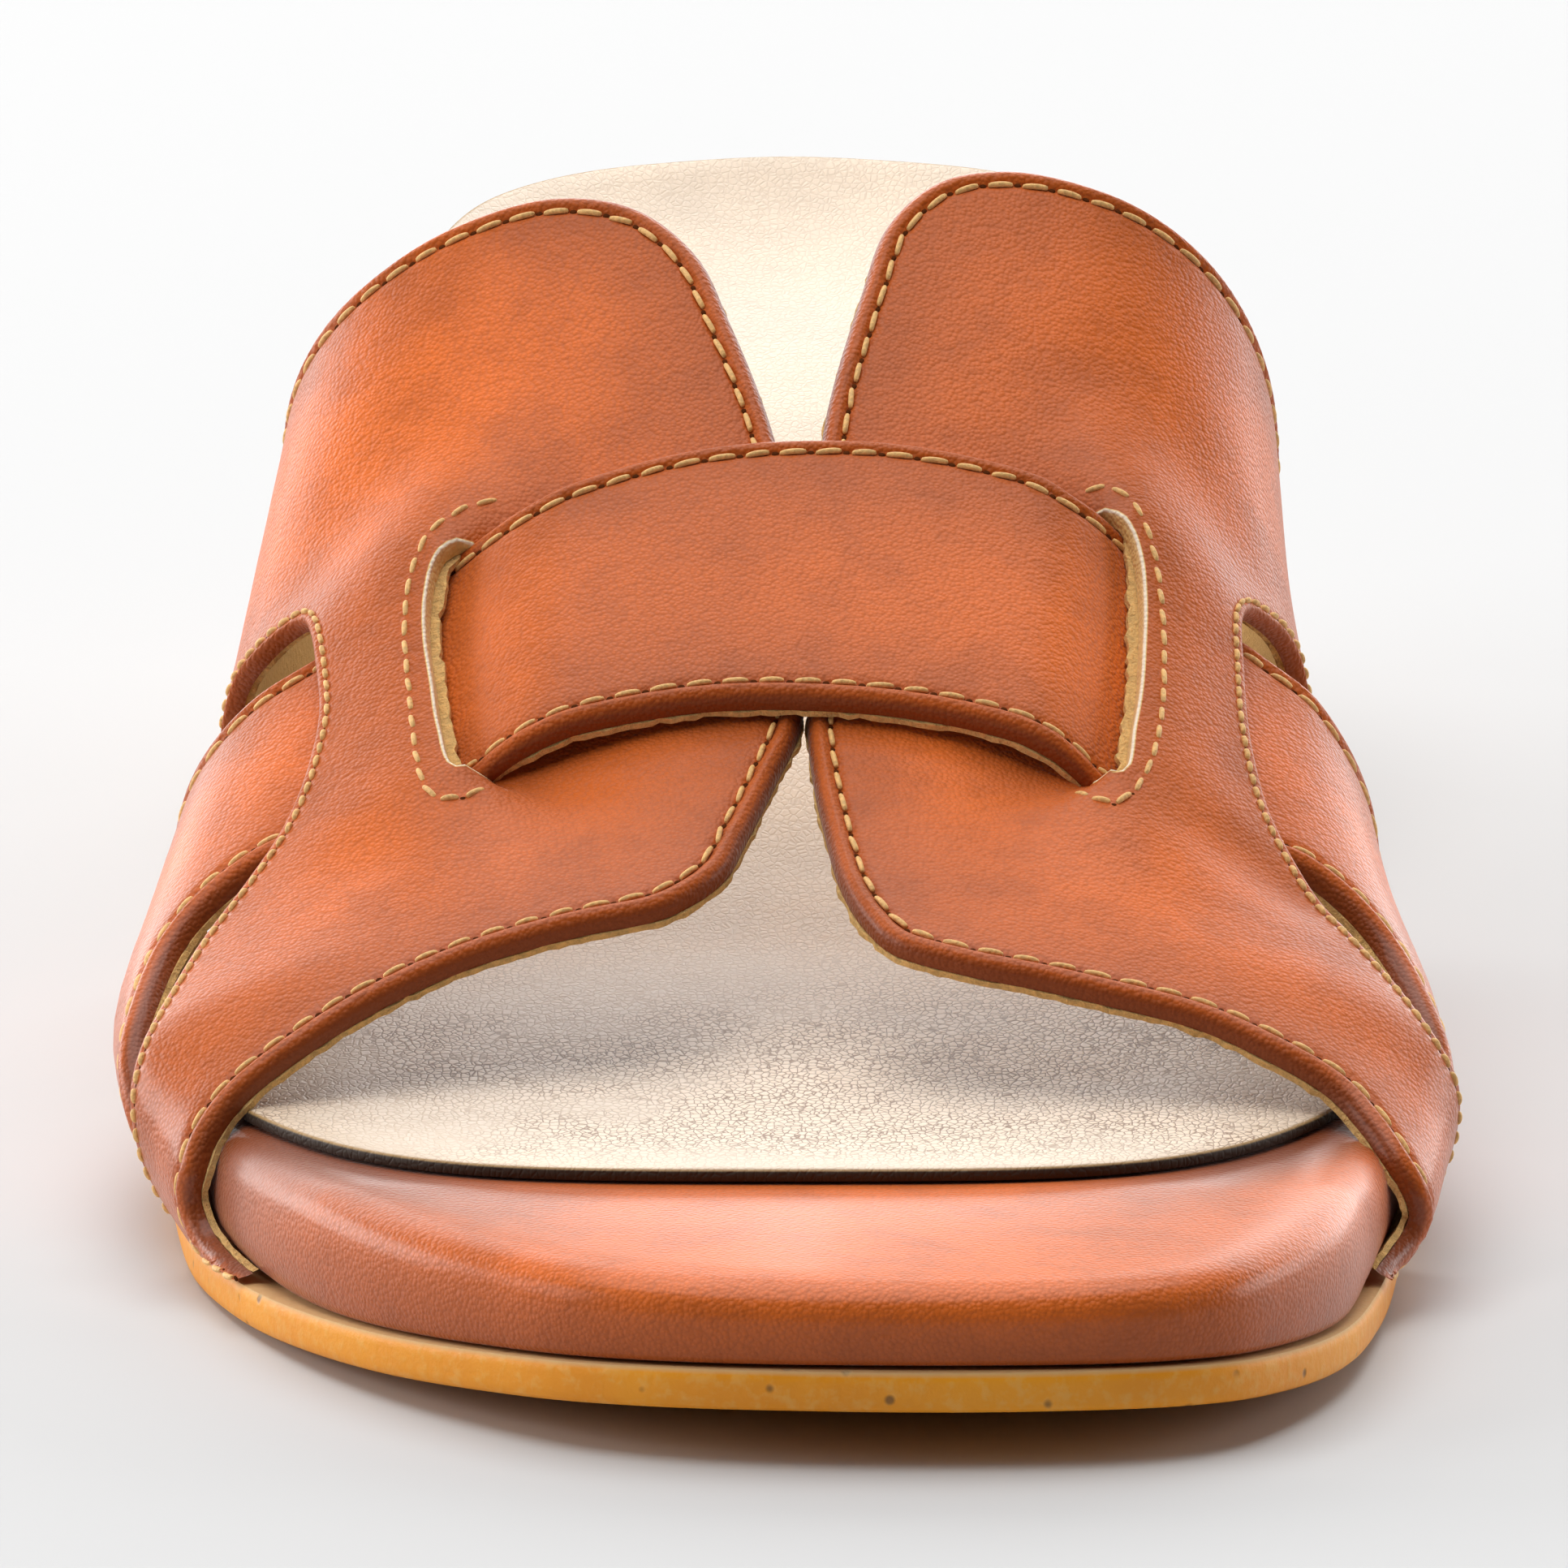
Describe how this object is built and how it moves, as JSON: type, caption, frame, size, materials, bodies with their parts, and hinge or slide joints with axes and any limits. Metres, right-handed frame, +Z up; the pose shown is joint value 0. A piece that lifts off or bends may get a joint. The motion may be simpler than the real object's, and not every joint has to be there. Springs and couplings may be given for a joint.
{
  "type": "heeled mule",
  "caption": "Right-foot open-toe mule with two stitched leather flaps held by a bridge strap, a padded footbed, a thin outsole and a low block heel.",
  "frame": {"origin": "on the floor, under the middle of the shoe's box", "axes": "+X to the inner side of the right foot, +Y from toe to heel, +Z up from the floor"},
  "size_m": [0.0968, 0.2484, 0.0655],
  "materials": {
    "upper_leather": "smooth cognac full-grain leather with a soft sheen",
    "footbed_leather": "cognac leather wrapped over a pad",
    "insole_leather": "cream leather with a cracked pearly grain at the forefoot",
    "honey_sole": "honey satin with fine dark specks",
    "stacked_heel": "satin, in fine stacked layers"
  },
  "bodies": {
    "root": {"upper": "upper_leather", "footbed": "footbed_leather", "insole": "insole_leather", "outsole": "honey_sole", "heel": "stacked_heel"}
  },
  "joints": []
}
